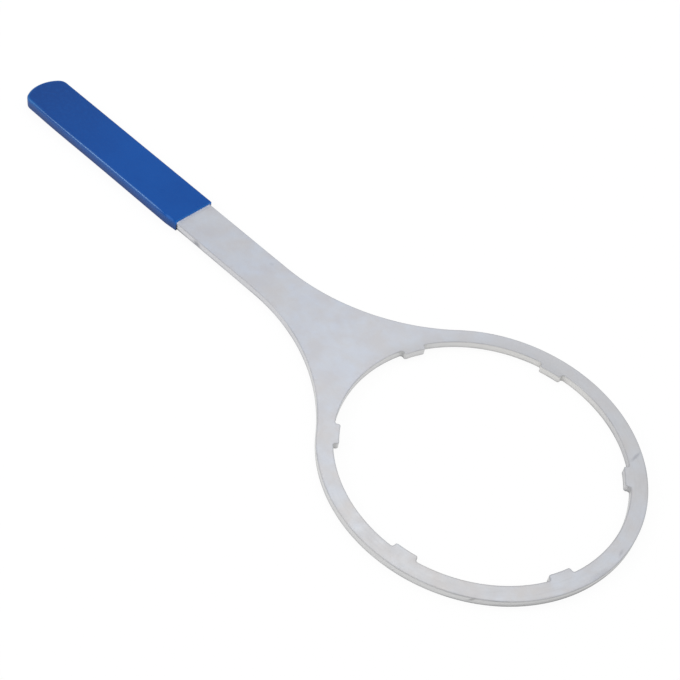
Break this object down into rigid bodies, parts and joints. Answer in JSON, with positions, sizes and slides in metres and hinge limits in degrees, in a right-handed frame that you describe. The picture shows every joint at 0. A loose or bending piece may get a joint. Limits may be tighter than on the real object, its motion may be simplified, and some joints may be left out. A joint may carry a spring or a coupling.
{
  "type": "filter housing wrench",
  "caption": "Flat zinc-plated steel ring wrench with inner lugs that grip a water filter housing's sump, and a straight handle with a blue soft sleeve.",
  "frame": {"origin": "centre of the ring, on the underside of the steel plate", "axes": "+Z is the ring's axis, up out of the plate's upper face; the handle runs along -X"},
  "size_m": [0.5235, 0.2, 0.0084],
  "materials": {
    "zinc_plated_steel": "satin bright zinc plating on a flat cut plate",
    "blue_vinyl": "smooth soft vinyl with a dull sheen"
  },
  "bodies": {
    "root": {"wrench_plate": "zinc_plated_steel", "handle_grip": "blue_vinyl"}
  },
  "joints": []
}
